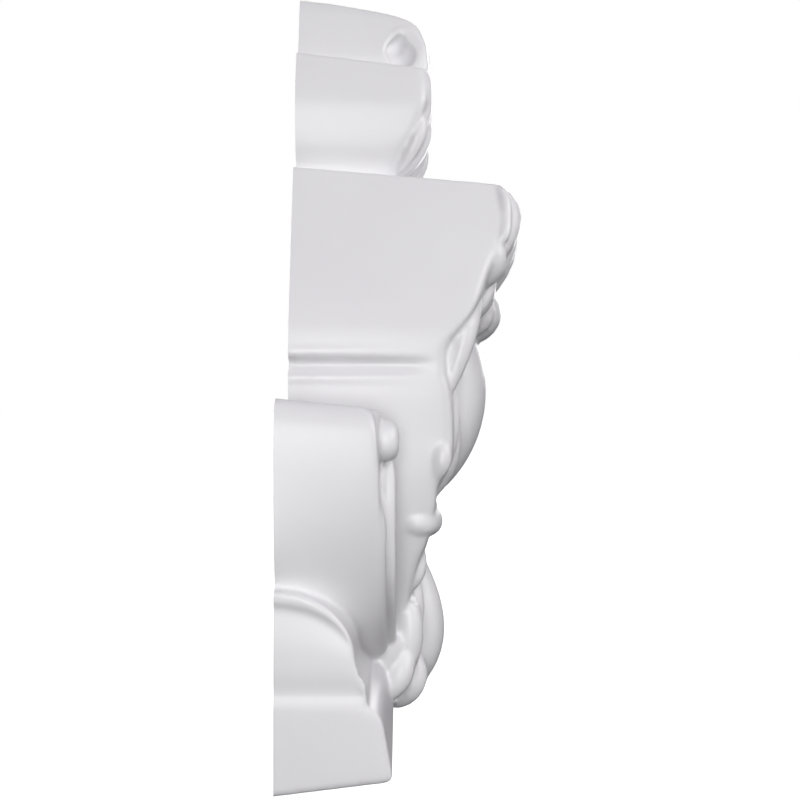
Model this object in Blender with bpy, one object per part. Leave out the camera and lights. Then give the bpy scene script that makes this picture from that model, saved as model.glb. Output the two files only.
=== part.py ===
"""A moulded scroll onlay for a wall: plinth, foot moulding, two side scrolls, a tapered body
with hanging acanthus and buds, a crest and a dished top curl, all cast as one solid.

The back is flat and lies on the wall plane, Y = 0. The front looks along -Y, +Z is up and
X = 0 is the line of symmetry. Sizes are in millimetres; "depth" is the distance from the wall.
"""

import math

import bmesh
import bpy
from mathutils import Vector

MM = 0.001

HEIGHT = 345.0
HALF_WIDTH = 132.0
TOP = HEIGHT / 2
BOTTOM = -HEIGHT / 2
BEHIND = 3.0

DRAFT = 0.07
EDGE_ROUND = 4.0
CROWN_REACH = 25.0

PLINTH_HEIGHT = 36.5
PLINTH_TOP = BOTTOM + PLINTH_HEIGHT
PLINTH_DEPTH = 46.0
PLINTH_TOP_DEPTH = 38.0
PLINTH_END_DRAFT = 0.02

FOOT_HEIGHT = 42.5
FOOT_TOP = PLINTH_TOP + FOOT_HEIGHT
FOOT_BEAD = 1.8

SCROLL_TOP = -20.0
SCROLL_DEPTH = 43.0
SCROLL_GROUND = 31.0
SCROLL_BEAD = 3.4
SCROLL_EYE = (102.0, -37.3)
SCROLL_EYE_RADIUS = 8.6
SCROLL_EYE_DEPTH = 48.0

GROOVE_Z = -3.0
GROOVE_HALF_HEIGHT = 2.6
GROOVE_CUT = 4.5
GROOVE_LENGTH = 66.0

SECTION_STEPS = 8
ROW_SPACING = 1.6
WALL_STEPS = 6

VOXEL = 1.5
SMOOTH_PASSES = 3
KEPT_FACES = 0.037
SNAP = 0.02
SHARP_ANGLE = 50

# Stations of the three stacked masses, from the lowest up:
# height, half width at the wall, depth of the wall's front edge, depth on the centre line.
BODY = (
    (-140, 40, 42, 43), (-125, 46.5, 49.5, 51), (-107, 55, 53.5, 56), (-96, 60, 56, 60),
    (-82, 65.5, 61, 64), (-68, 69.5, 64, 66), (-53, 72.6, 68.5, 70), (-45, 73.6, 71.3, 73),
    (-30, 75, 71.6, 74), (-8, 76, 68.5, 73), (3, 76, 69, 76), (16, 73.5, 79, 84),
    (35, 68.5, 87.5, 91), (50, 64, 93.5, 95), (60, 61, 96, 97), (74, 56.5, 96.5, 97.5),
    (85, 52.5, 93.5, 94.5),
)
CREST = (
    (78, 38, 45, 46), (88, 39.5, 46.5, 47), (97, 42.5, 51, 52), (106, 44, 56.5, 58),
    (118, 44.5, 60.8, 63), (130, 42, 61.2, 64), (141.5, 37.5, 60.5, 63),
)
TOP_CURL = (
    (135, 29.5, 61.5, 64.5), (142, 29, 61.6, 64), (149, 27, 61.4, 63.5), (156.8, 25, 59.8, 62),
    (161.4, 24, 57.8, 60), (166.4, 22.4, 52.3, 55), (169, 21, 44.5, 48), (TOP, 19.5, 15, 19),
)


def place(x, depth, z):
    """A point of the onlay, in metres."""
    return Vector((x * MM, -depth * MM, z * MM))


def along(stations, z, column):
    """A smooth value between stations: a cubic that keeps each station's own slope."""
    rows = sorted(stations)
    z = min(max(z, rows[0][0]), rows[-1][0])
    k = max(i for i in range(len(rows) - 1) if rows[i][0] <= z)

    def slope(i):
        low, high = rows[max(i - 1, 0)], rows[min(i + 1, len(rows) - 1)]
        return (high[column] - low[column]) / (high[0] - low[0])

    start, end = rows[k], rows[k + 1]
    span = end[0] - start[0]
    t = (z - start[0]) / span
    return ((2 * t**3 - 3 * t**2 + 1) * start[column] + (t**3 - 2 * t**2 + t) * span * slope(k)
            + (3 * t**2 - 2 * t**3) * end[column] + (t**3 - t**2) * span * slope(k + 1))


def loft(shape, sections):
    """Skin a row of equal closed sections and cap both ends."""
    rings = [[shape.verts.new(point) for point in section] for section in sections]
    count = len(rings[0])
    for lower, upper in zip(rings, rings[1:]):
        for i in range(count):
            j = (i + 1) % count
            shape.faces.new((lower[i], lower[j], upper[j], upper[i]))
    shape.faces.new(reversed(rings[0]))
    shape.faces.new(rings[-1])


def groove(depth, z):
    """How far the groove is cut into the body's wall, fading out towards the front."""
    across = max(0.0, 1 - ((z - GROOVE_Z) / GROOVE_HALF_HEIGHT) ** 2)
    fade = max(0.0, 1 - (max(depth, 0.0) / GROOVE_LENGTH) ** 3)
    return GROOVE_CUT * across * fade


def mass_section(stations, z, crown_slope, grooved):
    """One level section of a mass: drafted walls, round front edges and a domed front."""
    half, wall, centre = (along(stations, z, column) for column in (1, 2, 3))
    drop = crown_slope * max(0.0, 1 - (stations[-1][0] - z) / CROWN_REACH)
    side = [(half, -BEHIND)]
    for k in range(WALL_STEPS + 1):
        depth = (wall - EDGE_ROUND) * k / WALL_STEPS
        side.append((half - DRAFT * depth - (groove(depth, z) if grooved else 0.0), depth))
    edge = half - DRAFT * wall
    side.append((edge - 0.3 * EDGE_ROUND, wall - 0.3 * EDGE_ROUND))
    front = []
    for k in range(SECTION_STEPS + 1):
        t = 1 - k / SECTION_STEPS
        front.append(((edge - EDGE_ROUND) * t, wall + (centre - wall) * math.cos(math.pi / 2 * t)))
    right = side + front
    outline = right + [(-x, depth) for x, depth in reversed(right[:-1])]
    return [place(x, depth, z - drop * max(depth, 0.0)) for x, depth in outline]


def mass(shape, stations, crown_slope, grooved=False):
    """A mass lofted upwards through its stations, its top falling away towards the front."""
    low, high = stations[0][0], stations[-1][0]
    count = max(2, round((high - low) / ROW_SPACING))
    rows = [low + (high - low) * k / count for k in range(count + 1)]
    loft(shape, [mass_section(stations, z, crown_slope, grooved) for z in rows])


def bezier(points, t):
    """A point on the quadratic curve through three guides."""
    start, middle, end = points
    return start * (1 - t) ** 2 + middle * 2 * t * (1 - t) + end * t**2


def lobe(shape, start, middle, end, half_width, half_thick, peak=0.5, sides=10, steps=9):
    """A rounded leaf or bud swept along a curve, widest at its peak and closed at both tips."""
    for side in (1, -1):
        if side < 0 and start[0] == middle[0] == end[0] == 0:
            continue
        path = [place(side * x, depth, z) for x, depth, z in (start, middle, end)]
        power = math.log(0.5) / math.log(peak)
        sections = []
        for k in range(steps + 1):
            t = 0.012 + 0.976 * k / steps
            swell = math.sin(math.pi * t**power) ** 0.75
            tangent = (bezier(path, min(t + 0.01, 1)) - bezier(path, max(t - 0.01, 0))).normalized()
            across = tangent.cross(Vector((0, 1, 0))).normalized()
            out = across.cross(tangent)
            centre = bezier(path, t)
            sections.append([
                centre + (across * math.cos(a) * half_width + out * math.sin(a) * half_thick) * swell * MM
                for a in (2 * math.pi * i / sides for i in range(sides))])
        loft(shape, sections)


def cord(shape, points, radius, sides=8):
    """A bead of even thickness through a row of points, on both halves."""
    for side in (1, -1):
        row = [place(side * x, depth, z) for x, depth, z in points]
        sections = []
        for k, centre in enumerate(row):
            tangent = (row[min(k + 1, len(row) - 1)] - row[max(k - 1, 0)]).normalized()
            across = tangent.cross(Vector((0, 1, 0)))
            if across.length < 0.3:
                across = tangent.cross(Vector((1, 0, 0)))
            across.normalize()
            out = across.cross(tangent)
            sections.append([centre + (across * math.cos(a) + out * math.sin(a)) * radius * MM
                             for a in (2 * math.pi * i / sides for i in range(sides))])
        loft(shape, sections)


def slab(shape, at_wall, at_front, depth, round_off):
    """A raised form between two outlines, one on the wall and one in front, with a rounded edge."""
    middle_x = sum(x for x, _ in at_front) / len(at_front)
    middle_z = sum(z for _, z in at_front) / len(at_front)
    reach = max(math.hypot(x - middle_x, z - middle_z) for x, z in at_front)
    for side in (1, -1):
        rings = [[place(side * x, level, z) for x, z in at_wall] for level in (-BEHIND, 0.0)]
        for level, inset in ((depth - round_off, 0.0), (depth - 0.3 * round_off, 0.3 * round_off),
                             (depth, round_off)):
            keep = 1 - inset / reach
            rings.append([place(side * (middle_x + (x - middle_x) * keep), level,
                                middle_z + (z - middle_z) * keep) for x, z in at_front])
        loft(shape, rings)


def bar(shape, profile, half_width, bulge=0.0):
    """A profile in depth and height carried across the whole width, with swelling ends."""
    def ring(x, keep):
        mid_depth = sum(depth for depth, _ in profile) / len(profile)
        mid_z = sum(z for _, z in profile) / len(profile)
        return [place(x, mid_depth + (depth - mid_depth) * keep, mid_z + (z - mid_z) * keep)
                for depth, z in profile]

    ends = ((half_width, 0.35), (half_width - 0.4 * bulge, 0.7), (half_width - bulge, 0.94),
            (half_width - 1.6 * bulge, 1.0))
    rings = [ring(-x, keep) for x, keep in ends] + [ring(x, keep) for x, keep in reversed(ends)]
    loft(shape, rings)


def plinth(shape):
    """The block at the foot, with drafted faces and a soft front edge."""
    profile = ((-BEHIND, BOTTOM + 0.4), (0, BOTTOM), (42.5, BOTTOM + 5.6), (44.8, BOTTOM + 7.5),
               (PLINTH_DEPTH, BOTTOM + 11), (44.0, BOTTOM + 21), (41.5, BOTTOM + 29.5),
               (39.0, PLINTH_TOP - 3), (PLINTH_TOP_DEPTH - 3, PLINTH_TOP - 0.6), (0, PLINTH_TOP + 2),
               (-BEHIND, PLINTH_TOP + 2))
    sections = []
    for side in (-1, 1):
        sections.append([place(side * (HALF_WIDTH - PLINTH_END_DRAFT * max(depth, 0)), depth, z)
                         for depth, z in profile])
    loft(shape, sections)


def foot_moulding(shape):
    """The swelling moulding on the plinth, edged at each end by a double bead."""
    crown = [(31.0 * math.sin(a), PLINTH_TOP + 16 + (FOOT_HEIGHT - 16) * math.cos(a))
             for a in (math.pi / 2 * k / 8 for k in range(9))]
    flare = [(32.2, PLINTH_TOP + 9), (34.0, PLINTH_TOP + 3.5), (36.5, PLINTH_TOP - 2)]
    profile = [(-BEHIND, FOOT_TOP)] + crown + flare + [(-BEHIND, PLINTH_TOP - 2)]
    bar(shape, profile, HALF_WIDTH - 0.6, bulge=4.0)
    rim = [(x, depth, z) for x, (depth, z) in
           ((HALF_WIDTH - FOOT_BEAD, point) for point in [(-BEHIND, FOOT_TOP)] + crown + flare)]
    cord(shape, [(x, depth - 1.2, z - 1.2) for x, depth, z in rim], FOOT_BEAD)
    inner = [(x, max(depth, -BEHIND) * 0.86, PLINTH_TOP + (z - PLINTH_TOP) * 0.87) for x, depth, z in rim]
    cord(shape, [(x - 0.4, depth, z) for x, depth, z in inner], FOOT_BEAD * 0.9)


SCROLL_AT_WALL = (
    (72, PLINTH_TOP - 2), (84, -132), (97, -126), (109, -117), (118.5, -107), (124.5, -97), (128.3, -87),
    (130.5, -77), (131.5, -66), (131.8, -54), (HALF_WIDTH, -40), (131, -30), (127, SCROLL_TOP),
)
SCROLL_AT_FRONT = (
    (55, PLINTH_TOP - 2), (67, -133), (80, -127), (93, -119), (105, -109), (112, -99.5), (117.5, -90),
    (122.5, -79), (125.8, -67), (128, -54), (128.7, -40), (127.4, -30), (122, SCROLL_TOP - 3.5),
)
SCROLL_INNER = (
    (112, SCROLL_TOP - 3), (98, SCROLL_TOP - 3), (86, -27), (77, -38), (74, -50), (78, -62), (87, -69),
    (95, -76), (94, -87), (86, -99), (74, -110), (60, -120), (46, -128), (36, PLINTH_TOP - 2),
)
SCROLL_GROUND_OUTLINE = (
    (34, PLINTH_TOP - 2), (60, PLINTH_TOP - 2), (90, -118), (110, -90), (120, -66), (118, -40),
    (80, -34), (40, -40),
)


def scroll_rims():
    """The raised rims of a side scroll: one along its outer edge, one along its inner edge."""
    outer = ((52, -134), (64, -129.5), (77, -123.5), (89.5, -115.5), (100.5, -106), (109.5, -95),
             (116, -82.5), (120, -69), (122.3, -57))
    inner = ((34, -137), (47, -130), (61, -121.5), (74, -111.5), (85.5, -100), (92, -88), (94, -76),
             (93, -64), (90, -53))
    return [(x, SCROLL_DEPTH - 3.4, z) for x, z in outer], [(x, SCROLL_DEPTH, z) for x, z in inner]


def side_scrolls(shape):
    """The two big scrolls beside the body."""
    slab(shape, SCROLL_GROUND_OUTLINE, SCROLL_GROUND_OUTLINE, SCROLL_GROUND, 3.0)
    slab(shape, SCROLL_AT_WALL + SCROLL_INNER, SCROLL_AT_FRONT + SCROLL_INNER, SCROLL_DEPTH - 2.0, 2.5)
    for rim in scroll_rims():
        cord(shape, rim, SCROLL_BEAD)
    x, z = SCROLL_EYE
    lobe(shape, (x, 36, z + SCROLL_EYE_RADIUS), (x, SCROLL_EYE_DEPTH + 2, z),
         (x, 36, z - SCROLL_EYE_RADIUS), SCROLL_EYE_RADIUS, 6.0)
    for start, middle, end in (((60, 24, -58), (84, 42, -78), (86, 24, -96)),
                               ((52, 24, -76), (70, 42, -92), (66, 26, -106))):
        lobe(shape, start, middle, end, 8, 5, 0.55)


def upper_leaf(shape):
    """The acanthus that folds over the top of the body and runs down its front edges."""
    lobe(shape, (0, 84, 83), (0, 114.5, 61), (0, 80, 24), 13, 9, 0.5)
    lobe(shape, (8, 84, 83), (22, 112, 63), (28, 82, 28), 10.5, 8, 0.5)
    lobe(shape, (22, 82, 81), (44, 108, 68), (46, 80, 31), 11, 8.5, 0.55)
    lobe(shape, (38, 76, 74), (54, 96, 58), (55, 82, 30), 8, 7, 0.6)
    lobe(shape, (20, 82, 44), (40, 94, 26), (54, 70, 2), 9, 7, 0.55)
    lobe(shape, (40, 76, 40), (60, 88, 26), (63, 70, -2), 7.5, 6, 0.55)
    lobe(shape, (22, 78, 20), (44, 90, 4), (58, 66, -22), 9, 6.5, 0.55)
    lobe(shape, (26, 72, -4), (46, 84, -20), (54, 62, -46), 9, 6.5, 0.55)


def tip_curl(shape):
    """The leaf's tip, rolled forward over the bud below it."""
    lobe(shape, (0, 77, 34), (0, 99, 21), (0, 76, 5), 15, 11, 0.5)
    lobe(shape, (10, 74, 33), (22, 96, 19), (12, 74, 5), 8, 8, 0.5)


def buds(shape):
    """The two smooth buds of the drop and the leaves that hold them."""
    lobe(shape, (0, 68, 38), (0, 83, -14), (0, 65, -68), 22, 17, 0.55, 14, 12)
    lobe(shape, (20, 66, 18), (34, 78, -20), (22, 60, -60), 8, 7, 0.6)
    lobe(shape, (30, 64, -24), (48, 76, -44), (44, 58, -70), 9, 6, 0.6)
    lobe(shape, (0, 54, -52), (0, 66, -74), (0, 54, -94), 11, 7.5, 0.55)
    lobe(shape, (8, 54, -46), (24, 66, -68), (22, 52, -93), 9, 7, 0.6)
    lobe(shape, (22, 54, -50), (42, 64, -72), (42, 50, -94), 9, 6, 0.6)
    cord(shape, [(0, 61, -77), (20, 61, -77), (40, 61, -76), (53, 60, -75.5), (59, 56.5, -75), (59, 49, -75)], 6.0)
    lobe(shape, (0, 54, -86), (0, 62, -126), (0, 48, -162), 15, 15, 0.58, 14, 12)
    lobe(shape, (12, 50, -90), (28, 60, -118), (22, 46, -152), 8, 7, 0.6)
    lobe(shape, (26, 48, -90), (40, 60, -112), (34, 44, -140), 7, 7, 0.6)


def bottom_leaf(shape):
    """The leaf under the drop, spread over the plinth's front."""
    lobe(shape, (0, 42, -132), (0, 69, -156), (0, 46, -169.5), 9, 7, 0.6)
    lobe(shape, (8, 42, -130), (24, 68, -152), (22, 44, -168.5), 8, 7, 0.6)
    lobe(shape, (20, 42, -122), (46, 62, -138), (42, 42, -160), 8, 7, 0.6)


def crest_scrolls(shape):
    """The rims and leaves on the front of the crest."""
    eye_x, eye_z = 23, 123
    climb = [(29, 46, 83), (33.5, 49, 92), (36.5, 56, 102)]
    turns = []
    for k in range(13):
        angle = math.radians(-32 + 32 * k)
        reach = 14.5 - 0.75 * k
        turns.append((eye_x + reach * math.cos(angle), 60.5, eye_z + reach * math.sin(angle)))
    cord(shape, [(x, depth - 0.5, z) for x, depth, z in climb + turns], 3.2)
    lobe(shape, (0, 58, 140), (0, 69, 113), (0, 38, 84), 7, 5, 0.5)
    lobe(shape, (6, 56, 118), (18, 66, 105), (14, 42, 82), 6.5, 5, 0.55)
    lobe(shape, (16, 54, 106), (32, 61, 98), (26, 42, 81), 6, 4.5, 0.55)


def top_rim(shape):
    """The rolled rim round the dished top, with three flutes fanned inside it."""
    rim = [(27, 38, 139), (26, 39.5, 147), (22.5, 43, 155), (17, 49, 161), (10, 54, 164), (0, 56, 165)]
    cord(shape, rim, 2.6)
    lobe(shape, (0, 52, 164), (0, 62, 152), (0, 57, 134), 5, 4, 0.5)
    lobe(shape, (9, 48, 161), (11, 58, 150), (9, 54, 134), 4.5, 4, 0.5)


def onlay_material():
    """Primed white moulding, matt with a faint sheen."""
    material = bpy.data.materials.new("primed_white")
    material.use_nodes = True
    shader = material.node_tree.nodes["Principled BSDF"]
    shader.inputs["Base Color"].default_value = (0.86, 0.86, 0.87, 1.0)
    shader.inputs["Roughness"].default_value = 0.55
    shader.inputs["Metallic"].default_value = 0.0
    return material


def run_together(onlay):
    """Turn the overlapping forms into one skin with soft edges and few faces."""
    skin = onlay.modifiers.new("one casting", "REMESH")
    skin.mode = "VOXEL"
    skin.voxel_size = VOXEL * MM
    soften = onlay.modifiers.new("soft edges", "SMOOTH")
    soften.factor = 0.5
    soften.iterations = SMOOTH_PASSES
    fewer = onlay.modifiers.new("fewer faces", "DECIMATE")
    fewer.ratio = KEPT_FACES
    evaluated = onlay.evaluated_get(bpy.context.evaluated_depsgraph_get())
    cast = bmesh.new()
    cast.from_mesh(evaluated.to_mesh())
    evaluated.to_mesh_clear()
    onlay.modifiers.clear()
    return cast


def cut(cast, axis, keep_low):
    """Cut the skin open along a main plane and lay the cut's edge exactly on it."""
    normal = [1.0 if k == axis else 0.0 for k in range(3)]
    bmesh.ops.bisect_plane(cast, geom=cast.verts[:] + cast.edges[:] + cast.faces[:], dist=SNAP * MM,
                           plane_co=(0, 0, 0), plane_no=normal, clear_outer=keep_low,
                           clear_inner=not keep_low)
    rim = [edge for edge in cast.edges if edge.is_boundary]
    for edge in rim:
        for vert in edge.verts:
            vert.co[axis] = 0.0
    return rim


def build_onlay():
    """Gather the forms, run them together, make both halves alike and trim the back flat."""
    shape = bmesh.new()
    mass(shape, BODY, crown_slope=0.07, grooved=True)
    mass(shape, CREST, crown_slope=0.1)
    mass(shape, TOP_CURL, crown_slope=0.08)
    plinth(shape)
    foot_moulding(shape)
    side_scrolls(shape)
    upper_leaf(shape)
    tip_curl(shape)
    buds(shape)
    bottom_leaf(shape)
    crest_scrolls(shape)
    top_rim(shape)
    bmesh.ops.recalc_face_normals(shape, faces=shape.faces)
    mesh = bpy.data.meshes.new("scroll_onlay")
    shape.to_mesh(mesh)
    shape.free()
    onlay = bpy.data.objects.new("scroll_onlay", mesh)
    bpy.context.collection.objects.link(onlay)

    cast = run_together(onlay)
    cut(cast, 0, keep_low=False)
    bmesh.ops.mirror(cast, geom=cast.verts[:] + cast.edges[:] + cast.faces[:], axis="X",
                     merge_dist=SNAP * MM)
    back = cut(cast, 1, keep_low=True)
    bmesh.ops.holes_fill(cast, edges=back, sides=0)
    bmesh.ops.dissolve_degenerate(cast, dist=SNAP * MM, edges=cast.edges[:])
    bmesh.ops.triangulate(cast, faces=cast.faces[:])
    bmesh.ops.recalc_face_normals(cast, faces=cast.faces)
    cast.to_mesh(mesh)
    cast.free()
    mesh.materials.clear()
    mesh.materials.append(onlay_material())
    mesh.shade_smooth()
    mesh.set_sharp_from_angle(angle=math.radians(SHARP_ANGLE))
    return onlay


def main():
    for other in list(bpy.data.objects):
        bpy.data.objects.remove(other, do_unlink=True)
    build_onlay()


main()
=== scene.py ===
# %% [markdown]
# # A moulded scroll onlay
# This notebook dresses one cast wall ornament. The real thing is poured in one go into a rubber mould,
# so it has no joints and no seams. What makes it look right is soft edges, walls that lean a little so
# that the cast slips out of its mould, and leaves that overlap each other. The frame is the measured
# solid that the dressed piece has to sit inside. It is loaded first and never changed.

# %% Load the frame
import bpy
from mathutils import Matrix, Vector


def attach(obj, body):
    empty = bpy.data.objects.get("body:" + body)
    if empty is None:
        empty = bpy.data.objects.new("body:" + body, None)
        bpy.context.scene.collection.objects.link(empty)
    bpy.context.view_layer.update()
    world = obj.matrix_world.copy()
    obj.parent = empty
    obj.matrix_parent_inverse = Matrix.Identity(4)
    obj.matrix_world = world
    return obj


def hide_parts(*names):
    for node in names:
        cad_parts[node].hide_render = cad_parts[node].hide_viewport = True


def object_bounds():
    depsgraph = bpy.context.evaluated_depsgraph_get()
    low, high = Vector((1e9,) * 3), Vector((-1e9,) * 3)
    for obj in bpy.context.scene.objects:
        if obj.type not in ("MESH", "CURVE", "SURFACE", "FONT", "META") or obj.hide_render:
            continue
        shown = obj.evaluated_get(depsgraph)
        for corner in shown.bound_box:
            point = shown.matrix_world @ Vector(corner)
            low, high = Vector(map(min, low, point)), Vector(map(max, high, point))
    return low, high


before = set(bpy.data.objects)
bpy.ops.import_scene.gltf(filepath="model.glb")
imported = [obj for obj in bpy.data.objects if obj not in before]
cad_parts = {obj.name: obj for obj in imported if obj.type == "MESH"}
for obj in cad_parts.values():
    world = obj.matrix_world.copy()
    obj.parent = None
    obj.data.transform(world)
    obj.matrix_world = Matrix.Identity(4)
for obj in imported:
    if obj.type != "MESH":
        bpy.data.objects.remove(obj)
frame_box = [list(corner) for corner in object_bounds()]

import math

import bmesh
import bpy
from mathutils import Vector

print("frame nodes:", list(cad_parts))
print("frame box in mm:", [[round(value * 1000, 1) for value in corner] for corner in frame_box])

# %% [markdown]
# ## Sizes
# A carver lays the work on its back on the bench. The notebook does the same: x runs across the onlay,
# y is the height along the wall and z is the depth away from the wall. Only at the very end is the work
# stood up. All sizes are in millimetres, and the overall ones are read from the frame, so the dressed
# piece can't outgrow it. Forms start a little behind the wall and past the centre line, and what is too
# much is cut off at the end.

# %% Sizes and bench coordinates
MM = 0.001
HALF_WIDTH = frame_box[1][0] / MM
TOP = frame_box[1][2] / MM
BOTTOM = frame_box[0][2] / MM
FRONT = -frame_box[0][1] / MM

BEHIND = 3.0
PAST_CENTRE = 6.0
DRAFT = 0.07
EDGE_ROUND = 3.2
ROUND_SHARE = 0.3
PLINTH_TOP = BOTTOM + 36.5
FOOT_TOP = PLINTH_TOP + 42.5
SCROLL_TOP = -20.0


def bench(x, height, depth):
    """A point of the work as it lies on the bench, in metres."""
    return Vector((x, height, depth)) * MM


print(f"half width {HALF_WIDTH:.1f}, height {TOP - BOTTOM:.1f}, depth {FRONT:.1f} mm")

# %% [markdown]
# ## Helpers
# Operators act on whatever is selected, so every step starts by selecting nothing. `skin` is the main
# way of modelling here: a ring of points is extruded again and again, and after each extrusion the new
# ring is fitted to its place. It is the same as pulling a face out by hand and scaling it, only the
# sizes come from a rule. `use_modifier` adds a modifier and applies it at once, and `keep` puts a
# finished form with the others.

# %% Helpers for selecting, extruding and finishing
def deselect():
    """Leave edit mode and select nothing."""
    if bpy.context.mode != "OBJECT":
        bpy.ops.object.mode_set(mode="OBJECT")
    bpy.ops.object.select_all(action="DESELECT")


def place_key(point):
    """A rounded place, so that a vertex can be found again after an extrusion."""
    return tuple(round(value * 1e6) for value in point)


def skin(name, rings):
    """Extrude a closed ring through its stations and leave both ends capped."""
    deselect()
    bpy.ops.mesh.primitive_circle_add(vertices=len(rings[0]), fill_type="NGON", radius=MM)
    piece = bpy.context.object
    piece.name = name
    bpy.ops.object.mode_set(mode="EDIT")
    bpy.ops.mesh.select_all(action="SELECT")
    mesh = bmesh.from_edit_mesh(piece.data)
    mesh.verts.ensure_lookup_table()
    for vert, point in zip(mesh.verts, rings[0]):
        vert.co = point
    for before, after in zip(rings, rings[1:]):
        bpy.ops.mesh.extrude_region_move()
        mesh = bmesh.from_edit_mesh(piece.data)
        goes_to = {place_key(old): new for old, new in zip(before, after)}
        for vert in mesh.verts:
            if vert.select:
                vert.co = goes_to[place_key(vert.co)]
    bmesh.update_edit_mesh(piece.data)
    bpy.ops.mesh.select_all(action="SELECT")
    bpy.ops.mesh.normals_make_consistent(inside=False)
    bpy.ops.object.mode_set(mode="OBJECT")
    return piece


def use_modifier(piece, kind, name, **settings):
    """Add a modifier, set it and apply it."""
    deselect()
    piece.select_set(True)
    bpy.context.view_layer.objects.active = piece
    modifier = piece.modifiers.new(name, kind)
    for key, value in settings.items():
        setattr(modifier, key, value)
    bpy.ops.object.modifier_apply(modifier=name)


FORMS = []


def keep(piece):
    """Put a finished form on the bench with the others."""
    FORMS.append(piece)
    return piece


# %% [markdown]
# ## The stacked masses
# Seen from the side the onlay is three walls, one on the other: the body, the crest and the top curl.
# Each could be a box with its edges bevelled, but its walls curve, so it is a loft through a few
# stations. A smooth cubic runs between stations, because straight steps would show as bands in the soft
# light. A groove with a soft lip on both sides runs across the body's wall and fades out towards the
# front.

# %% Stations: height, half width at the wall, depth at the edge, depth in the middle
BODY = (
    (-140, 40, 42, 43), (-125, 46.5, 49.5, 51), (-107, 55, 53.5, 56), (-96, 60, 56, 60),
    (-82, 65.5, 61, 64), (-68, 69.5, 64, 66), (-59, 71.5, 65, 67), (-53, 72.6, 68.5, 70),
    (-45, 73.6, 71.3, 73), (-30, 75, 71.6, 74), (-18, 76, 70.5, 74), (-8, 76, 68.5, 73),
    (3, 76, 69, 76), (10, 75, 74, 80),
    (16, 73.5, 79, 84), (24, 71.5, 83.5, 88), (35, 68.5, 87.5, 91), (50, 64, 93.5, 95),
    (60, 61, 96, 97), (74, 56.5, 96.5, 97.5), (85, 52.5, 93.5, 94.5),
)
CREST = (
    (78, 38, 45, 46), (88, 39.5, 46.5, 47), (97, 42.5, 51, 52), (106, 44, 56.5, 58),
    (118, 44.5, 60.8, 63), (130, 42, 61.2, 64), (141.5, 37.5, 60.5, 63),
)
TOP_CURL = (
    (135, 29.5, 61.5, 64.5), (142, 29, 61.6, 64), (149, 27, 61.4, 63.5), (156.8, 25, 59.8, 62),
    (161.4, 24, 57.8, 60), (163.6, 23.4, 56.3, 58.5), (166.4, 22.4, 52.3, 55), (169, 21, 44.5, 48),
    (170.6, 20, 34.5, 38), (TOP, 18.8, 15, 19),
)
print("stations of body, crest and top curl:", len(BODY), len(CREST), len(TOP_CURL))

# %% Lofting a mass through its stations
CROWN_REACH = 25.0
SECTION_STEPS = 14
WALL_STEPS = 10
ROW_SPACING = 1.5

GROOVE_HEIGHT = -5.4
GROOVE_HALF = 3.4
GROOVE_CUT = 4.0
GROOVE_LENGTH = 66.0
GROOVE_LIP = 0.8
LIP_PLACE = 1.7
LIP_WIDTH = 0.5


def along(stations, height, column):
    """A smooth value between stations."""
    rows = sorted(stations)
    height = min(max(height, rows[0][0]), rows[-1][0])
    k = max(i for i in range(len(rows) - 1) if rows[i][0] <= height)

    def slope(i):
        low, high = rows[max(i - 1, 0)], rows[min(i + 1, len(rows) - 1)]
        return (high[column] - low[column]) / (high[0] - low[0])

    start, end = rows[k], rows[k + 1]
    span = end[0] - start[0]
    t = (height - start[0]) / span
    return ((2 * t**3 - 3 * t**2 + 1) * start[column] + (t**3 - 2 * t**2 + t) * span * slope(k)
            + (3 * t**2 - 2 * t**3) * end[column] + (t**3 - t**2) * span * slope(k + 1))


def groove(depth, height):
    """The cut across the body's wall with its two soft lips, fading out towards the front."""
    fade = max(0.0, 1 - (max(depth, 0.0) / GROOVE_LENGTH) ** 2)
    away = (height - GROOVE_HEIGHT) / GROOVE_HALF
    cut = GROOVE_CUT * max(0.0, 1 - away**2)
    lip = GROOVE_LIP * math.exp(-((abs(away) - LIP_PLACE) / LIP_WIDTH) ** 2)
    return (cut - lip) * fade


def mass_ring(stations, height, crown_slope, grooved):
    """One level section: leaning walls, round front edges and a domed front."""
    half, wall, centre = (along(stations, height, column) for column in (1, 2, 3))
    drop = crown_slope * max(0.0, 1 - (stations[-1][0] - height) / CROWN_REACH)
    side = [(half, -BEHIND)]
    for k in range(WALL_STEPS + 1):
        depth = (wall - EDGE_ROUND) * k / WALL_STEPS
        side.append((half - DRAFT * depth - (groove(depth, height) if grooved else 0.0), depth))
    edge = half - DRAFT * wall
    side.append((edge - ROUND_SHARE * EDGE_ROUND, wall - ROUND_SHARE * EDGE_ROUND))
    front = []
    for k in range(SECTION_STEPS + 1):
        t = 1 - k / SECTION_STEPS
        front.append(((edge - EDGE_ROUND) * t, wall + (centre - wall) * math.cos(math.pi / 2 * t)))
    right = side + front
    outline = right + [(-x, depth) for x, depth in reversed(right[:-1])]
    return [bench(x, height - drop * max(depth, 0.0), depth) for x, depth in outline]


def mass(name, stations, crown_slope, grooved=False):
    """Loft one mass."""
    low, high = stations[0][0], stations[-1][0]
    count = round((high - low) / ROW_SPACING)
    rows = [low + (high - low) * k / count for k in range(count + 1)]
    return skin(name, [mass_ring(stations, height, crown_slope, grooved) for height in rows])


# %% The three masses
keep(mass("body_mass", BODY, crown_slope=0.07, grooved=True))
keep(mass("crest_mass", CREST, crown_slope=0.1))
top_curl = mass("top_curl_mass", TOP_CURL, crown_slope=0.08)
print("masses:", [(form.name, len(form.data.vertices)) for form in FORMS])

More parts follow.
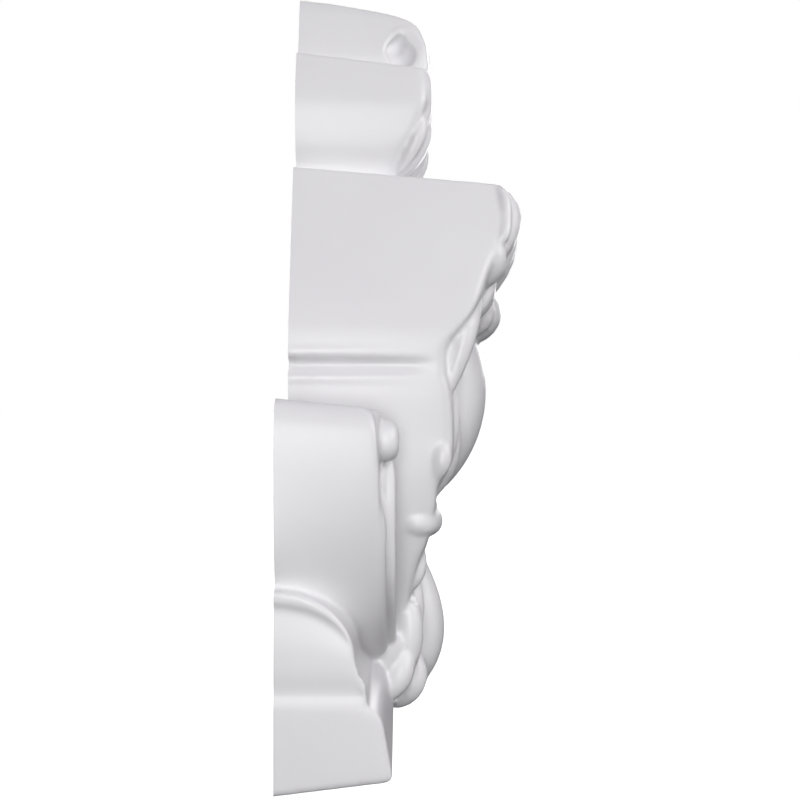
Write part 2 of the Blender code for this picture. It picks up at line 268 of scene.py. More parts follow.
# %% [markdown]
# ## The dished top curl
# The top curl is hollowed on each side like a shell, and short flutes run down its front. Both are cut
# with squashed balls: two that overlap give the dish its uneven edge, and long thin ones give the
# flutes. A Boolean is the right tool for it, because the wall round the cut should stay as it is.

# %% Hollow the top curl
def squashed_ball(name, centre, radii, segments=32, rings=20):
    """A ball with its own radius along each axis."""
    deselect()
    bpy.ops.mesh.primitive_uv_sphere_add(segments=segments, ring_count=rings, radius=1.0)
    ball = bpy.context.object
    ball.name = name
    bpy.ops.transform.resize(value=[radius * MM for radius in radii])
    bpy.ops.transform.translate(value=bench(*centre))
    bpy.ops.object.transform_apply(location=True, rotation=True, scale=True)
    return ball


DISH = (((25.8, 149.5, 46.0), (8.6, 7.4, 6.2)), ((29.0, 146.0, 49.0), (8.9, 10.2, 8.2)))
FLUTES = (((4.5, 150.0, 66.0), (1.8, 15.0, 4.6)), ((13.0, 149.0, 65.5), (1.8, 14.0, 4.2)))
for side in (1, -1):
    for (x, height, depth), radii in DISH + FLUTES:
        hollow = squashed_ball("hollow", (side * x, height, depth), radii)
        use_modifier(top_curl, "BOOLEAN", "hollow", operation="DIFFERENCE", object=hollow)
        bpy.data.objects.remove(hollow, do_unlink=True)
keep(top_curl)
print("top curl faces after hollowing:", len(top_curl.data.polygons))

# %% [markdown]
# ## Beads
# A bead is an even, round rim. The quick way is a Bezier curve with a round thickness, turned into a
# mesh. Its handles are automatic, so a few points make a smooth line. Only the right-hand half is
# modelled from here on: the last step mirrors it.

# %% A bead along a curve
BEAD_STEPS = 6
BEAD_ROUNDNESS = 5


def bead(name, points, radius, ends=1.0):
    """A round bead through a few points; its thickness at both ends may taper."""
    deselect()
    bpy.ops.curve.primitive_bezier_curve_add()
    piece = bpy.context.object
    piece.name = name
    line = piece.data
    line.dimensions = "3D"
    spline = line.splines[0]
    spline.bezier_points.add(len(points) - 2)
    last = len(points) - 1
    for k, (knot, point) in enumerate(zip(spline.bezier_points, points)):
        knot.co = bench(*point)
        knot.handle_left_type = "AUTO"
        knot.handle_right_type = "AUTO"
        knot.radius = ends if k in (0, last) else 1.0
    line.resolution_u = BEAD_STEPS
    line.bevel_depth = radius * MM
    line.bevel_resolution = BEAD_ROUNDNESS
    line.use_fill_caps = True
    bpy.ops.object.convert(target="MESH")
    piece = bpy.context.object
    bpy.ops.object.transform_apply(location=True, rotation=True, scale=True)
    return keep(piece)


# %% [markdown]
# ## Leaves and buds
# Acanthus is built of rounded lobes that overlap like tiles, each with a shallow vein. One lobe is a
# ring swept along a short curve. The ring swells from nothing to full width and back, and a notch in
# the ring draws the vein. Everything from the broad leaf to the little buds is this one shape with
# other sizes.

# %% One lobe
LOBE_FULLNESS = 0.75
VEIN_WIDTH = 0.2
LOOK_AHEAD = 0.01


def curve_point(guides, t):
    """A point on the quadratic curve through three guides."""
    start, middle, end = guides
    return start * (1 - t) ** 2 + middle * 2 * t * (1 - t) + end * t**2


def lobe(name, start, middle, end, half_width, half_thick, peak=0.5, vein=0.26, sides=18, steps=16):
    """A rounded lobe, widest at its peak, closed at both tips. Points are x, height, depth."""
    guides = [bench(*point) for point in (start, middle, end)]
    power = math.log(0.5) / math.log(peak)
    rings = []
    for k in range(steps + 1):
        t = 0.5 - 0.49 * math.cos(math.pi * k / steps)
        centre = curve_point(guides, t)
        swell = math.sin(math.pi * t**power) ** LOBE_FULLNESS
        ahead, behind = min(t + LOOK_AHEAD, 1), max(t - LOOK_AHEAD, 0)
        tangent = (curve_point(guides, ahead) - curve_point(guides, behind)).normalized()
        across = tangent.cross(Vector((0, 0, 1))).normalized()
        out = across.cross(tangent)
        ring = []
        for i in range(sides):
            angle = 2 * math.pi * i / sides
            notch = vein * math.exp(-(math.cos(angle) / VEIN_WIDTH) ** 2) * swell
            sideways = across * math.cos(angle) * half_width
            outwards = out * math.sin(angle) * (1 - notch) * half_thick
            ring.append(centre + (sideways + outwards) * swell * MM)
        rings.append(ring)
    return keep(skin(name, rings))


# %% [markdown]
# ## The leaf over the body
# The acanthus starts under the crest, swells over the top of the body and runs down both front corners.
# Its tips point down and outwards, which gives the saw-toothed edge that the side view shows against
# the smooth wall. A bead along the body's upper corner is the leaf's rolled edge, and the long strap
# below it carries the leaf down to the husk of the bud.

# %% The acanthus, its rim and its rolled tip
bead("body_rim", [(38, 75, 88), (44.3, 75.5, 93), (47.9, 72, 95.6), (51.3, 62, 96.2), (54.2, 54, 95.2),
                  (55, 48, 91.5)], radius=2.9, ends=0.7)
lobe("leaf_rib", (0, 83, 84), (0, 61, 115), (0, 20, 80), 13, 9)
lobe("leaf_inner", (8, 83, 84), (22, 63, 113), (28, 24, 82), 10.5, 8)
lobe("leaf_outer", (22, 82, 84), (42, 66, 111), (45, 34, 82), 11, 8.5, 0.5)
lobe("leaf_corner", (47, 58, 83), (54, 46, 98), (46, 30, 87), 8, 5.5, 0.5)
lobe("leaf_second", (20, 46, 82), (36, 34, 97), (46, 12, 76), 9, 6, 0.5)
lobe("leaf_strap", (44, 38, 82), (62, 16, 82), (61, -26, 66), 7.5, 6, 0.5)
lobe("tip_curl", (0, 36, 78), (0, 24, 100), (0, 6, 78), 17, 10, vein=0.0)
lobe("tip_curl_side", (12, 35, 76), (24, 23, 96.5), (14, 8, 76), 9, 8, vein=0.0)
print("forms after the acanthus:", len(FORMS))

# %% [markdown]
# ## The drop
# Under the leaf's rolled tip hangs a smooth bud, then a knot of small leaves, then a second bud. The
# buds are plain lobes with no vein, so they shine as smooth eggs between the veined leaves. A band
# crosses the body between them and ends in a small knob at the corner. One broad plain lobe fills the
# root behind the foot leaf, so that no gap is left between the leaf, the side scroll and the block.

# %% Two buds and the leaves that hold them
lobe("upper_bud", (0, 38, 68), (0, -14, 84), (0, -68, 65), 25, 16, 0.55, vein=0.0, sides=32, steps=28)
lobe("husk_outer", (36, -6, 68), (53, -34, 78), (40, -68, 60), 9, 5, 0.5)
lobe("husk_tip", (63, -34, 63), (69.5, -46, 72), (62, -59, 60), 5.5, 5, 0.5)
lobe("husk_inner", (16, -14, 66), (36, -42, 80), (18, -72, 58), 9, 7, 0.55)
lobe("knot_middle", (0, -52, 54), (0, -74, 66), (0, -94, 54), 11, 7.5, 0.55)
lobe("knot_inner", (8, -46, 54), (24, -68, 66), (22, -93, 52), 9, 7, 0.6)
lobe("knot_outer", (22, -50, 54), (44, -66, 65), (46, -82, 52), 9, 6, 0.6)
bead("knot_band", [(0, -77, 61), (20, -77, 61), (40, -76, 61), (53, -75.5, 60), (59, -75, 56.5),
                   (59, -75, 49)], radius=7.0, ends=0.6)
lobe("lower_bud", (0, -86, 53), (0, -130, 61), (0, -169, 49), 15, 15, 0.6, vein=0.0, sides=28, steps=24)
lobe("lower_bud_leaf", (12, -90, 50), (28, -118, 60), (22, -152, 46), 8, 7, 0.6)
lobe("lower_bud_outer", (34, -100, 46), (47, -130, 62), (30, -160, 42), 8.5, 7, 0.5)
lobe("lower_bud_shoulder", (28, -84, 50), (46, -96, 62), (42, -112, 48), 8, 6, 0.5)

# %% The leaf at the foot of the drop
lobe("foot_leaf_middle", (0, -132, 42), (0, -156, 69), (0, -169.5, 46), 9, 7, 0.6)
lobe("foot_leaf_inner", (8, -130, 42), (24, -152, 68), (22, -168.5, 44), 8, 7, 0.6)
lobe("foot_leaf_outer", (24, -126, 40), (50, -140, 60), (46, -160, 38), 8, 7, 0.6)
lobe("foot_leaf_root", (30, -122, 38), (48, -134, 48), (40, -148, 34), 11, 9, 0.5, vein=0.0)
print("forms after the drop:", len(FORMS))

# %% [markdown]
# ## The side scrolls
# A side scroll is a thick band on a lower ground. Its outer wall leans in more and more on the way
# down, and its outline at the front is a little smaller than at the wall, as a mould needs. That is a
# skin again, from the outline at the wall to the outline at the front, with two more rings that round
# the front edge. Beads make its rims, and a round button with a bevelled edge is its eye.

# %% Bands and grounds from two outlines
def smooth_line(points, per_side=4):
    """An open line resampled through its points with a Catmull-Rom curve."""
    line = []
    padded = [points[0]] + list(points) + [points[-1]]
    for k in range(len(points) - 1):
        before, start, end, after = padded[k:k + 4]
        for j in range(per_side):
            t = j / per_side
            line.append(tuple(
                0.5 * (2 * b + (c - a) * t + (2 * a - 5 * b + 4 * c - d) * t**2
                       + (3 * b - a - 3 * c + d) * t**3)
                for a, b, c, d in zip(before, start, end, after)))
    return line + [points[-1]]


def shrunk(outline, amount):
    """The closed outline moved inwards by an amount; it runs anticlockwise."""
    moved = []
    for k, (x, height) in enumerate(outline):
        before, after = outline[k - 1], outline[(k + 1) % len(outline)]
        across = Vector((-(after[1] - before[1]), after[0] - before[0])).normalized()
        moved.append((x + across.x * amount, height + across.y * amount))
    return moved


def table(stations, height):
    """A straight-line reading of a table of heights and values."""
    if height <= stations[0][0]:
        return stations[0][1]
    for (low, start), (high, end) in zip(stations, stations[1:]):
        if height <= high:
            return start + (end - start) * (height - low) / (high - low)
    return stations[-1][1]


# %% The band's outlines and front
BAND_FRONT = ((-138, 39), (-130, 41), (-100, 41.5), (-75, 41), (-50, 40.2), (-40, 39.9), (-28, 39.2),
              (-24.5, 38.2), (-22, 36.5), (-20, 34))
BAND_SLOPE = 0.085
SLOPE_REACH = 15.0
DRAFT_REACH = 10.0
BAND_ROUND = 2.0
OUTER_AT_WALL = [(72, PLINTH_TOP - 2), (84, -132), (97, -126), (109, -117), (118.5, -107), (124.5, -97),
                 (128.3, -87), (130.5, -77), (131.5, -66), (131.8, -54), (131.9, -40), (131, -30),
                 (128.5, -23), (124, SCROLL_TOP)]
OUTER_AT_FRONT = [(55, PLINTH_TOP - 2), (67, -133), (80, -127), (93, -119), (105, -109), (114.5, -97),
                  (121, -84), (125.5, -70), (128, -55), (128.7, -40), (127.4, -28), (122, SCROLL_TOP)]
INNER_EDGE = [(112, SCROLL_TOP - 0.5), (98, SCROLL_TOP - 1.5), (86, -27), (77, -38), (74, -50),
              (78, -62), (87, -69), (95, -76), (94, -87), (86, -99), (74, -110), (60, -120), (46, -128),
              (36, PLINTH_TOP - 2)]


def evenly(points, count):
    """The same line with an even number of steps along its length."""
    lengths = [0.0]
    for start, end in zip(points, points[1:]):
        lengths.append(lengths[-1] + math.dist(start, end))
    line = []
    for k in range(count):
        reach = lengths[-1] * k / (count - 1)
        i = min(max(j for j in range(len(points)) if lengths[j] <= reach + 1e-9), len(points) - 2)
        share = (reach - lengths[i]) / (lengths[i + 1] - lengths[i])
        line.append(tuple(a + (b - a) * share for a, b in zip(points[i], points[i + 1])))
    return line


OUTER_POINTS = 44
inner_line = smooth_line(INNER_EDGE)
at_wall = evenly(smooth_line(OUTER_AT_WALL), OUTER_POINTS) + inner_line
at_front = evenly(smooth_line(OUTER_AT_FRONT), OUTER_POINTS) + inner_line


def band_ring(share, rise, inwards):
    """One ring of the band: its share of the way to the front outline, its rise and its inset."""
    ring = []
    outline = [tuple(a + (b - a) * share for a, b in zip(start, end))
               for start, end in zip(at_wall, at_front)]
    for x, height in shrunk(outline, inwards + DRAFT * max(rise, 0) * DRAFT_REACH):
        depth = table(BAND_FRONT, height) * max(rise, 0)
        slope = BAND_SLOPE * max(0.0, 1 - (SCROLL_TOP - height) / SLOPE_REACH)
        ring.append(bench(x, height - slope * depth, depth if rise >= 0 else -BEHIND))
    return ring


ROUND_STARTS = 0.95
ROUND_MIDDLE = 0.982
rings = [band_ring(0, -1, 0)]
rings += [band_ring(share, share * ROUND_STARTS, 0) for share in (0, 0.25, 0.5, 0.75, 1.0)]
rings += [band_ring(1, ROUND_MIDDLE, ROUND_SHARE * BAND_ROUND), band_ring(1, 1.0, BAND_ROUND)]
keep(skin("scroll_band", rings))
print("band rings:", len(rings), "points in each:", len(rings[0]))

# %% The ground behind the band
GROUND_DEPTH = 31.0
GROUND = [(34, PLINTH_TOP - 2), (60, PLINTH_TOP - 2), (90, -118), (110, -90), (120, -66), (118, -40),
          (80, -34), (40, -40)]
GROUND_STEPS = ((-BEHIND, 0), (0, 0), (GROUND_DEPTH - 2, 1.5), (GROUND_DEPTH, 3.5))
keep(skin("scroll_ground", [[bench(x, height, depth) for x, height in shrunk(GROUND, inwards)]
                            for depth, inwards in GROUND_STEPS]))
print("ground depth in mm:", GROUND_DEPTH)

# %% The rims of the side scroll
EYE = (102.0, -37.3)
RIM_RADIUS = 3.4
RIM_DEPTH = 39.6
INNER_RIM_DEPTH = 43.4
VOLUTE_DEPTH = 37.9
climb = [(52, -134), (64, -129.5), (77, -123.5), (89.5, -115.5), (100.5, -106), (109.5, -95),
         (116, -82.5), (120, -69)]
rim_line = [(x, height, RIM_DEPTH) for x, height in climb] + [(122.3, -57, 38.5)]
bead("scroll_rim", rim_line, RIM_RADIUS, ends=0.5)
VOLUTE = ((-50, 21.5), (-20, 20.0), (15, 16.5), (50, 12.8), (90, 10.6), (130, 11.6), (170, 13.2),
          (210, 14.0), (250, 13.4), (290, 12.8), (330, 12.2), (370, 11.6))
volute = [(EYE[0] + reach * math.cos(math.radians(angle)), EYE[1] + reach * math.sin(math.radians(angle)))
          for angle, reach in VOLUTE]
bead("scroll_volute", [(x, height, VOLUTE_DEPTH) for x, height in volute], radius=2.4, ends=0.6)
inner_climb = [(34, -137), (47, -130), (61, -121.5), (74, -111.5), (85.5, -100), (92, -88), (94, -76),
               (94, -64), (93, -54), (92, -44)]
inner_line = [(x, height, INNER_RIM_DEPTH) for x, height in inner_climb]
bead("scroll_inner_rim", inner_line, RIM_RADIUS, ends=0.6)
print("scroll rims at depths in mm:", RIM_DEPTH, INNER_RIM_DEPTH, VOLUTE_DEPTH)

# %% The scroll's eye and the leaves on its ground
BEVEL_STEPS = 6


def button(name, centre, radius, back, front, rounding):
    """A round boss with a rounded front edge."""
    deselect()
    bpy.ops.mesh.primitive_cylinder_add(vertices=40, radius=radius * MM, depth=(front - back) * MM,
                                        location=bench(centre[0], centre[1], (back + front) / 2))
    boss = bpy.context.object
    boss.name = name
    bpy.ops.object.transform_apply(location=True, rotation=True, scale=True)
    bpy.ops.object.mode_set(mode="EDIT")
    bpy.ops.mesh.select_all(action="DESELECT")
    mesh = bmesh.from_edit_mesh(boss.data)
    for edge in mesh.edges:
        if all(vert.co.z > (front - 0.1) * MM for vert in edge.verts):
            edge.select_set(True)
    bmesh.update_edit_mesh(boss.data)
    bpy.ops.mesh.bevel(offset=rounding * MM, segments=BEVEL_STEPS, affect="EDGES")
    bpy.ops.object.mode_set(mode="OBJECT")
    return keep(boss)


button("scroll_eye", EYE, radius=8.6, back=20.0, front=48.0, rounding=5.0)
for number, (start, middle, end) in enumerate((((60, -58, 24), (84, -78, 42), (86, -96, 24)),
                                               ((52, -76, 24), (70, -92, 42), (66, -106, 26)))):
    lobe(f"ground_leaf_{number}", start, middle, end, 8, 5, 0.55)
print("forms after the side scroll:", len(FORMS))

# %% [markdown]
# ## The foot
# The block could be a bevelled cube, but its front leans and its two long edges have different
# roundings. So its profile gets rounded corners first and is then pulled out from the middle to the
# end, where the last rings shrink in a quarter turn and round the end. On it lies a swelling moulding,
# pulled out of its own profile in the same way. The rings near its end step in and out, which gives the
# double bead.

# %% The block
WIDEST = HALF_WIDTH - 0.1
PLINTH_DEPTH = 46.2
PLINTH_TOP_DEPTH = 40.6
END_ROUND = 1.4
END_STEPS = 6


def rounded(corners, steps=6):
    """A closed outline whose corners (depth, height, radius) are rounded."""
    outline = []
    for k, (depth, height, radius) in enumerate(corners):
        here = Vector((depth, height))
        ways = [Vector(corners[j][:2]) - here for j in (k - 1, (k + 1) % len(corners))]
        start, end = (here + way.normalized() * radius for way in ways)
        outline += [tuple(curve_point((start, here, end), i / steps)) for i in range(steps + 1)]
    return outline


block_outline = rounded([(-BEHIND, BOTTOM, 0.5), (PLINTH_DEPTH - 0.3, BOTTOM + 6.0, 3.5),
                         (PLINTH_TOP_DEPTH, PLINTH_TOP - 1.5, 8.0), (-BEHIND, PLINTH_TOP, 0.5)])
block_rings = [[bench(-PAST_CENTRE, height, depth) for depth, height in block_outline]]
for k in range(END_STEPS + 1):
    turn = math.pi / 2 * k / END_STEPS
    inset = shrunk(block_outline, END_ROUND * (1 - math.cos(turn)))
    reach = WIDEST - END_ROUND * (1 - math.sin(turn))
    block_rings.append([bench(reach, height, depth) for depth, height in inset])
keep(skin("block", block_rings))
print("block rings:", len(block_rings), "points in each:", len(block_outline))

# %% The swelling moulding with its double bead at the end
FOOT_SWELL = 31.0
FOOT_MIDDLE = PLINTH_TOP + 16.0
FLARE = ((31.1, 1.5), (31.7, 5), (32.7, 8.5), (34.0, 11.5), (35.4, 14.2), (36.2, 18), (-BEHIND, 18))
END_SHAPE = ((1.0, 4.5, 4.5), (1.0, 1.5, 1.5), (0.985, 0.6, 0.6), (0.955, 0.05, 0.3), (0.925, 0.3, 0.2),
             (0.9, 1.0, 0.2), (0.875, 0.4, 0.3), (0.84, 0.2, 0.5), (0.80, 0.7, 0.8), (0.76, 1.5, 1.0),
             (0.7, 1.5, 1.0), (0.6, 1.2, 0.9), (0.45, 0.8, 0.6), (0.3, 0.4, 0.3), (0.12, 0.2, 0.2))
SWELL_STEPS = 14
SWELL_FADE = 0.7
foot_profile = [(-BEHIND, FOOT_TOP, 1.0)]
for k in range(SWELL_STEPS + 1):
    angle = math.pi / 2 * k / SWELL_STEPS
    height = FOOT_MIDDLE + (FOOT_TOP - FOOT_MIDDLE) * math.cos(angle)
    foot_profile.append((FOOT_SWELL * math.sin(angle), height, math.cos(angle) ** SWELL_FADE))
foot_profile += [(depth, FOOT_MIDDLE - drop, 0.0) for depth, drop in FLARE]


def foot_ring(share, upper_back, lower_back):
    """A ring near the moulding's end, shrunk towards the middle height and set back from the end."""
    ring = []
    for depth, height, weight in foot_profile:
        x = WIDEST - (upper_back * weight + lower_back * (1 - weight))
        ring.append(bench(x, FOOT_MIDDLE + (height - FOOT_MIDDLE) * share, depth))
    return ring


start_ring = [bench(-PAST_CENTRE, height, depth) for depth, height, _ in foot_profile]
keep(skin("foot_moulding", [start_ring] + [foot_ring(*row) for row in END_SHAPE]))
print(f"foot from {BOTTOM:.1f} to {FOOT_TOP:.1f} mm high")

# %% [markdown]
# ## The crest and the rim of the top
# Two small scrolls face each other on the crest, with leaves between them. Each scroll is a bead whose
# points turn by the same angle each time and come a little closer to the middle, which is how a spiral
# is drawn by hand. A thin bead runs round the dish of the top curl as its rolled rim.

# %% Crest scrolls, leaves and rim
def spiral(centre, start, step, count, radius, shrink):
    """Points of a spiral that winds inwards."""
    points = []
    for k in range(count):
        angle = math.radians(start + step * k)
        reach = radius - shrink * k
        points.append((centre[0] + reach * math.cos(angle), centre[1] + reach * math.sin(angle)))
    return points


crest_rim = [(29, 83, 45.5), (32.5, 92, 48.5), (34, 102, 55.5)]
crest_rim += [(x, height, 60.0) for x, height in spiral((20.5, 123), -32, 32, 13, 13.5, 0.75)]
bead("crest_rim", crest_rim, 3.2, 0.7)
lobe("crest_leaf_middle", (0, 140, 58), (0, 113, 69), (0, 84, 38), 7, 5)
lobe("crest_leaf_inner", (6, 118, 56), (18, 105, 66), (14, 82, 42), 6.5, 5, 0.55)
lobe("crest_leaf_outer", (24, 118, 58), (33, 102, 66), (25, 82, 44), 5, 4.5, 0.5)
lobe("crest_leaf_side", (33, 116, 58), (39, 104, 61), (34, 84, 46), 4, 4, 0.5)
bead("top_rim", [(25.3, 138, 38.5), (23.7, 146, 39.5), (21.6, 152.5, 42.5), (20.4, 156.6, 47),
                 (19.9, 157.4, 52), (20.4, 153, 57), (22, 146, 59.5), (23, 138, 60.5)], radius=1.7)
print("forms on the bench:", len(FORMS))

# %% [markdown]
# ## One casting
# All forms overlap, as clay pressed on clay does. A voxel remesh wraps one even skin round the whole
# heap, and a few rounds of smoothing soften every edge, as paint and mould release do. One half is
# kept, and two small eyes are pressed into the leaves with proportional editing, where a carver's drill
# would stop. The skin is then thinned, mirrored, cut flat along the wall and stood up.

# %% Join, wrap and soften
VOXEL = 1.0
SMOOTH_ROUNDS = 7

deselect()
for form in FORMS:
    form.select_set(True)
bpy.context.view_layer.objects.active = FORMS[0]
bpy.ops.object.join()
casting = bpy.context.object
casting.name = "onlay_casting"
casting.data.name = "onlay_casting"
print("forms joined:", len(FORMS), "vertices:", len(casting.data.vertices))
use_modifier(casting, "REMESH", "one skin", mode="VOXEL", voxel_size=VOXEL * MM)
use_modifier(casting, "SMOOTH", "soft edges", factor=0.5, iterations=SMOOTH_ROUNDS)
print("after wrapping:", len(casting.data.polygons), "faces")

# %% Keep one half
def bisect(piece, normal, clear_outer, fill):
    """Cut along a main plane through the origin and keep one side."""
    deselect()
    piece.select_set(True)
    bpy.context.view_layer.objects.active = piece
    bpy.ops.object.mode_set(mode="EDIT")
    bpy.ops.mesh.select_all(action="SELECT")
    bpy.ops.mesh.bisect(plane_co=(0, 0, 0), plane_no=normal, use_fill=fill, clear_outer=clear_outer,
                        clear_inner=not clear_outer, threshold=1e-5)
    bpy.ops.object.mode_set(mode="OBJECT")


bisect(casting, (1, 0, 0), clear_outer=False, fill=False)
print("faces in one half:", len(casting.data.polygons))

# %% Press the leaves' eyes
def drill(point, push, reach):
    """Press a small soft-edged eye into the skin: the nearest vertex is pushed and its neighbours follow."""
    place = bench(*point)
    deselect()
    casting.select_set(True)
    bpy.context.view_layer.objects.active = casting
    bpy.ops.object.mode_set(mode="EDIT")
    bpy.ops.mesh.select_all(action="DESELECT")
    mesh = bmesh.from_edit_mesh(casting.data)
    nearest = min(mesh.verts, key=lambda vert: (vert.co - place).length_squared)
    nearest.select_set(True)
    bmesh.update_edit_mesh(casting.data)
    bpy.ops.transform.translate(value=Vector(push) * MM, use_proportional_edit=True,
                                use_proportional_connected=True, proportional_edit_falloff="SMOOTH",
                                proportional_size=reach * MM)
    bpy.ops.object.mode_set(mode="OBJECT")


EYE_PUSH = (-3, 0, -3)
EYE_REACH = 3.2
for point in ((52, 21, 85), (43, -112, 56)):
    drill(point, EYE_PUSH, EYE_REACH)
print("vertices after pressing:", len(casting.data.vertices))

# %% Thin the skin, mirror it and cut the back flat
KEPT_SHARE = 0.385
SEAM = 0.05 * MM
SMOOTH_ANGLE = 60
use_modifier(casting, "DECIMATE", "fewer faces", ratio=KEPT_SHARE)
for vert in casting.data.vertices:
    if abs(vert.co.x) < SEAM:
        vert.co.x = 0.0
use_modifier(casting, "MIRROR", "other half", use_clip=True, merge_threshold=SEAM)
bisect(casting, (0, 0, 1), clear_outer=False, fill=True)
casting.rotation_euler = (math.radians(90), 0, 0)
deselect()
casting.select_set(True)
bpy.context.view_layer.objects.active = casting
bpy.ops.object.transform_apply(location=True, rotation=True, scale=True)
bpy.ops.object.shade_smooth_by_angle(angle=math.radians(SMOOTH_ANGLE))
print("triangles:", sum(len(face.vertices) - 2 for face in casting.data.polygons))

# %% [markdown]
# ## The finish
# The piece is sold primed: a white, slightly silky coat. Two faint noises keep it from looking like
# plain plastic: a broad one for the uneven coat, which also varies the sheen, and a fine one for the
# grain of the spray.

# %% Primed white
def primed_white():
    """White primer with a soft sheen."""
    material = bpy.data.materials.new("primed_white")
    material.use_nodes = True
    nodes, links = material.node_tree.nodes, material.node_tree.links
    shader = nodes["Principled BSDF"]
    place = nodes.new("ShaderNodeTexCoord")
    broad = nodes.new("ShaderNodeTexNoise")
    broad.inputs["Scale"].default_value = 14.0
    broad.inputs["Detail"].default_value = 3.0
    coat = nodes.new("ShaderNodeValToRGB")
    coat.color_ramp.elements[0].position = 0.3
    coat.color_ramp.elements[0].color = (0.80, 0.795, 0.81, 1)
    coat.color_ramp.elements[1].position = 0.7
    coat.color_ramp.elements[1].color = (0.83, 0.828, 0.838, 1)
    fine = nodes.new("ShaderNodeTexNoise")
    fine.inputs["Scale"].default_value = 900.0
    fine.inputs["Detail"].default_value = 2.0
    grain = nodes.new("ShaderNodeBump")
    grain.inputs["Strength"].default_value = 0.04
    grain.inputs["Distance"].default_value = 0.0002
    sheen = nodes.new("ShaderNodeMapRange")
    sheen.inputs["To Min"].default_value = 0.33
    sheen.inputs["To Max"].default_value = 0.39
    links.new(place.outputs["Object"], broad.inputs["Vector"])
    links.new(place.outputs["Object"], fine.inputs["Vector"])
    links.new(broad.outputs["Fac"], coat.inputs["Fac"])
    links.new(broad.outputs["Fac"], sheen.inputs["Value"])
    links.new(coat.outputs["Color"], shader.inputs["Base Color"])
    links.new(sheen.outputs["Result"], shader.inputs["Roughness"])
    links.new(fine.outputs["Fac"], grain.inputs["Height"])
    links.new(grain.outputs["Normal"], shader.inputs["Normal"])
    shader.inputs["Specular IOR Level"].default_value = 0.5
    return material


casting.data.materials.clear()
casting.data.materials.append(primed_white())
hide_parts("scroll_onlay")
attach(casting, "root")
print("finish:", casting.data.materials[0].name)

# %% [markdown]
# ## Studio
# White on white is shaped by light alone. A tall, narrow soft box stands behind the camera: a wall that
# faces it gets a broad sheen, and a wall that leans away loses it, so that even a small lean shows. Two
# weaker ones light the front and the far side. A dim surround, a little violet and darker below, fills
# the shadows. The camera itself sees plain white round the piece, and the floor glows white for the
# camera only, so it adds no light from below. Places and sizes are in metres from here on.

# %% Soft boxes
def soft_box(name, place, width, height, power):
    """A soft box that looks at the middle of the piece."""
    light = bpy.data.lights.new(name, "AREA")
    light.shape = "RECTANGLE"
    light.size = width
    light.size_y = height
    light.energy = power
    lamp = bpy.data.objects.new(name, light)
    bpy.context.scene.collection.objects.link(lamp)
    lamp.location = place
    lamp.rotation_euler = (-Vector(place)).to_track_quat("-Z", "Y").to_euler()
    return lamp


soft_box("side_box", (-1.3, -0.04, -0.1), width=0.42, height=1.25, power=15.2)
soft_box("front_box", (-0.6, -1.2, 0.7), width=0.8, height=0.8, power=9.5)
soft_box("far_box", (1.3, -0.5, 0.5), width=0.6, height=0.9, power=7.5)

# %% The surround, darker below
SURROUND_TINT = (0.97, 0.9, 1.03, 1)
SURROUND_BELOW = 0.02
SURROUND_ABOVE = 0.19
world = bpy.data.worlds.new("studio")
bpy.context.scene.world = world
world.use_nodes = True
surround = world.node_tree.nodes["Background"]
surround.inputs["Color"].default_value = SURROUND_TINT
place = world.node_tree.nodes.new("ShaderNodeTexCoord")
split = world.node_tree.nodes.new("ShaderNodeSeparateXYZ")
sky = world.node_tree.nodes.new("ShaderNodeMapRange")
sky.inputs["From Min"].default_value = -0.5
sky.inputs["From Max"].default_value = 0.5
sky.inputs["To Min"].default_value = SURROUND_BELOW
sky.inputs["To Max"].default_value = SURROUND_ABOVE
world.node_tree.links.new(place.outputs["Generated"], split.inputs["Vector"])
world.node_tree.links.new(split.outputs["Z"], sky.inputs["Value"])
world.node_tree.links.new(sky.outputs["Result"], surround.inputs["Strength"])
seen = world.node_tree.nodes.new("ShaderNodeBackground")
seen.inputs["Color"].default_value = (1, 1, 1, 1)
pick = world.node_tree.nodes.new("ShaderNodeMixShader")
ray = world.node_tree.nodes.new("ShaderNodeLightPath")
out = world.node_tree.nodes["World Output"]
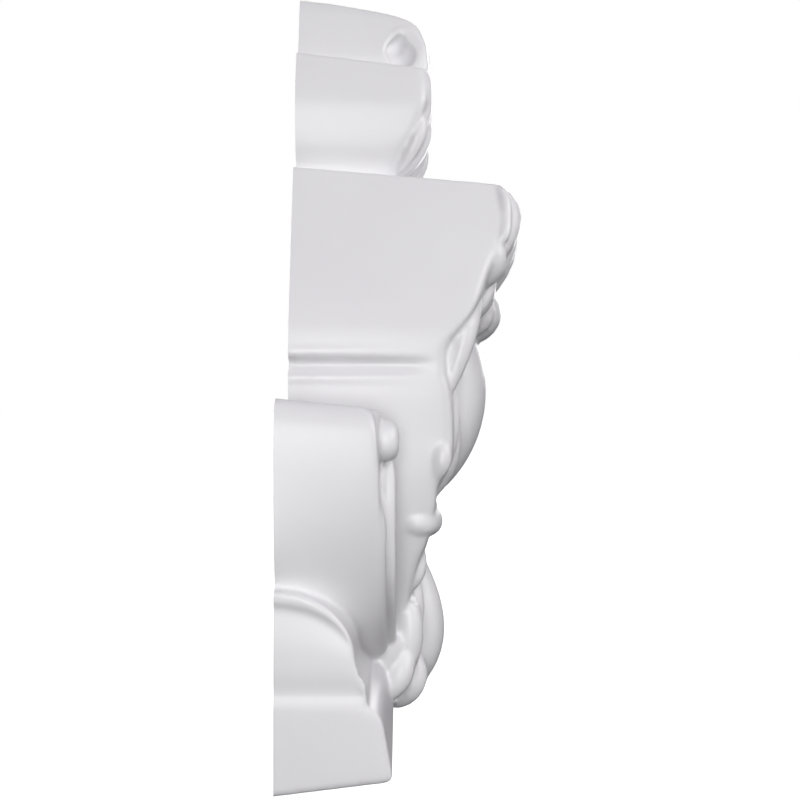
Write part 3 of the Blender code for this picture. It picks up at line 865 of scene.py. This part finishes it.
world.node_tree.links.new(ray.outputs["Is Camera Ray"], pick.inputs[0])
world.node_tree.links.new(surround.outputs[0], pick.inputs[1])
world.node_tree.links.new(seen.outputs[0], pick.inputs[2])
world.node_tree.links.new(pick.outputs[0], out.inputs["Surface"])
bpy.context.scene.view_settings.view_transform = "Standard"
print("surround strength from", SURROUND_BELOW, "below to", SURROUND_ABOVE, "above")

# %% Floor
FLOOR_SIZE = 30.0
FLOOR_GAP = 0.03
deselect()
bpy.ops.mesh.primitive_plane_add(size=FLOOR_SIZE, location=(0, 0, BOTTOM * MM - FLOOR_GAP))
floor = bpy.context.object
floor.name = "studio_floor"
floor_white = bpy.data.materials.new("studio_floor_white")
floor_white.use_nodes = True
floor_shader = floor_white.node_tree.nodes["Principled BSDF"]
floor_shader.inputs["Base Color"].default_value = (0.9, 0.9, 0.9, 1)
floor_shader.inputs["Roughness"].default_value = 0.9
floor_shader.inputs["Emission Color"].default_value = (1, 1, 1, 1)
floor_shader.inputs["Emission Strength"].default_value = 1.0
floor.data.materials.append(floor_white)
floor.visible_diffuse = False
floor.visible_glossy = False
print(f"floor at {floor.location.z * 1000:.1f} mm")

# %% [markdown]
# ## Camera
# The photograph looks along the wall from the left-hand side, about half a metre away, a little in
# front of the wall and just below half height. The lens follows from the distance and from the width
# that the frame takes in.

# %% Camera
CAMERA_DISTANCE = 0.55
CAMERA_OFF_WALL = 0.04825
CAMERA_HEIGHT = -0.0207
VIEW_WIDTH = 0.4
SENSOR = 36.0

lens = bpy.data.cameras.new("photo_camera")
lens.sensor_width = SENSOR
lens.lens = SENSOR * CAMERA_DISTANCE / VIEW_WIDTH
lens.clip_start = 0.01
camera = bpy.data.objects.new("photo_camera", lens)
bpy.context.scene.collection.objects.link(camera)
camera.location = (-CAMERA_DISTANCE, -CAMERA_OFF_WALL, CAMERA_HEIGHT)
camera.rotation_euler = Vector((1, 0, 0)).to_track_quat("-Z", "Y").to_euler()
bpy.context.scene.camera = camera
print(f"focal length {lens.lens:.1f} mm")
